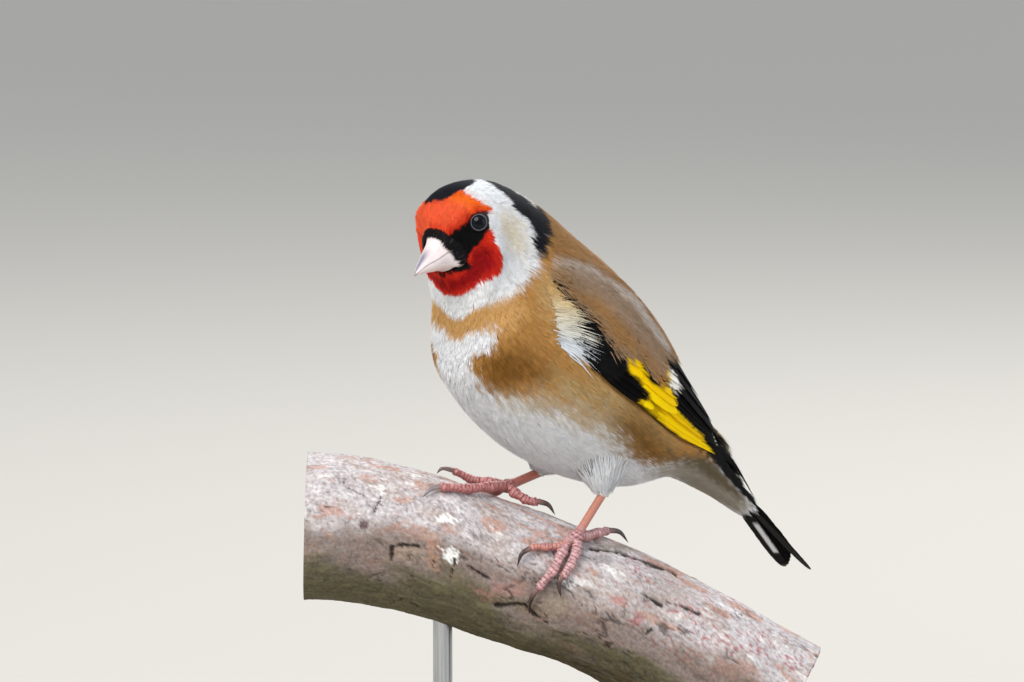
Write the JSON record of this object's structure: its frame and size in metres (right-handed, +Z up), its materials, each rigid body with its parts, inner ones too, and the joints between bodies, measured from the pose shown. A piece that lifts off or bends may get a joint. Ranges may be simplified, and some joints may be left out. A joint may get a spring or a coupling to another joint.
{
  "type": "european goldfinch, perched, still model",
  "caption": "Life-size perched finch gripping a cut length of branch, held up by a plain round display stand with slim rods; still, no joints.",
  "frame": {"origin": "centre of the flat underside of the stand's round base", "axes": "+Z up, the bird's body faces -Y and its left side is +X; its head turns a little to its left"},
  "size_m": [0.104, 0.1144, 0.1424],
  "materials": {
    "face": "matt crimson, black and white face feathers",
    "nape": "matt white and black feathers, tawny behind",
    "body": "soft tawny back, buff breast sides and white belly feathers",
    "wing": "black flight feathers with a bright yellow bar",
    "tail": "black feathers with white patches",
    "bill": "pale pinkish horn with a grey ridge",
    "eye": "wet, very dark brown",
    "leg": "pink scaled skin",
    "claw": "dark brown horn",
    "thigh": "white downy feathers",
    "bark": "rough grey bark with lichen",
    "rod": "satin",
    "base": "oiled walnut"
  },
  "bodies": {
    "root": {"bill_lower": "bill", "bill_upper": "bill", "claw_left_hind": "claw", "claw_left_inner": "claw", "claw_left_middle": "claw", "claw_left_outer": "claw", "claw_right_hind": "claw", "claw_right_inner": "claw", "claw_right_middle": "claw", "claw_right_outer": "claw", "eye_left": "eye", "eye_right": "eye", "foot_left": "leg", "foot_right": "leg", "head": "face", "leg_left": "leg", "leg_right": "leg", "neck": "nape", "perch": "bark", "stand_base": "base", "stand_rod_back": "rod", "stand_rod_front": "rod", "tail": "tail", "thigh_left": "thigh", "thigh_right": "thigh", "torso": "body", "wing_left": "wing", "wing_right": "wing"}
  },
  "joints": []
}
